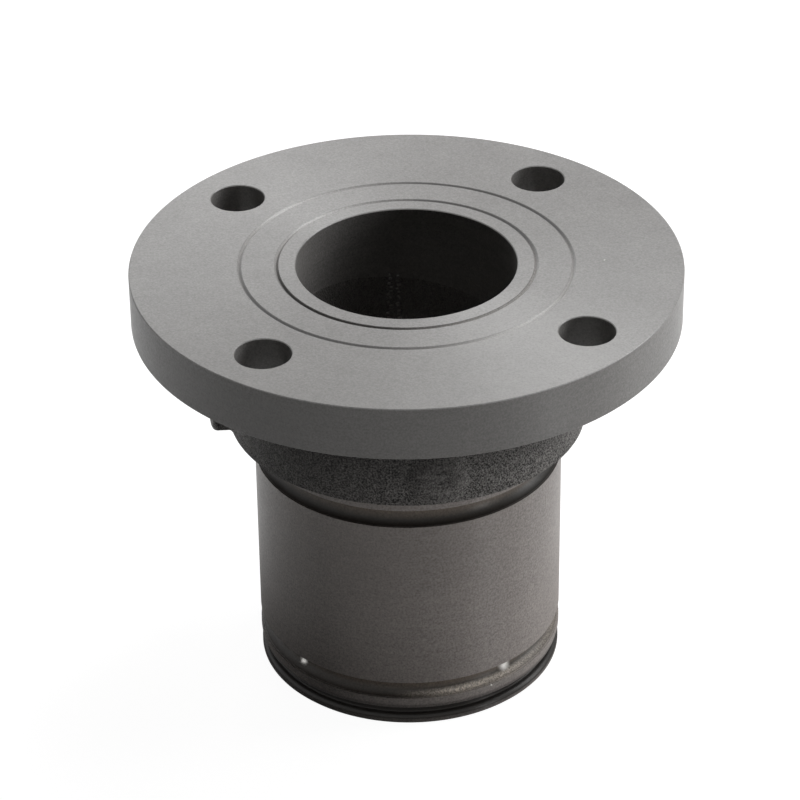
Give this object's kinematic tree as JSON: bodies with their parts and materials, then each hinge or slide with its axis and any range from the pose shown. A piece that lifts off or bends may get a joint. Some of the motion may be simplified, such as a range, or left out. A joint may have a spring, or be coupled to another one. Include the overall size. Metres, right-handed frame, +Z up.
{
  "type": "flat face flange",
  "caption": "Round flat face flange with bolt holes and a plain bore, cast in one with a bossed collar and a turned spigot that carries two ball races and a seal groove.",
  "frame": {"origin": "centre of the spigot's end face, which the part stands on", "axes": "+Z up along the bore axis, from the spigot's end towards the flange's face; +X and +Y run midway between bolt holes, with the bosses near -X and -Y"},
  "size_m": [0.1905, 0.1904, 0.1572],
  "materials": {
    "anodised_aluminium": "hard anodised, matte warm grey; turned faces fine-grained, cast neck, collar and core rough"
  },
  "bodies": {
    "root": {"flange_body": "anodised_aluminium"}
  },
  "joints": []
}
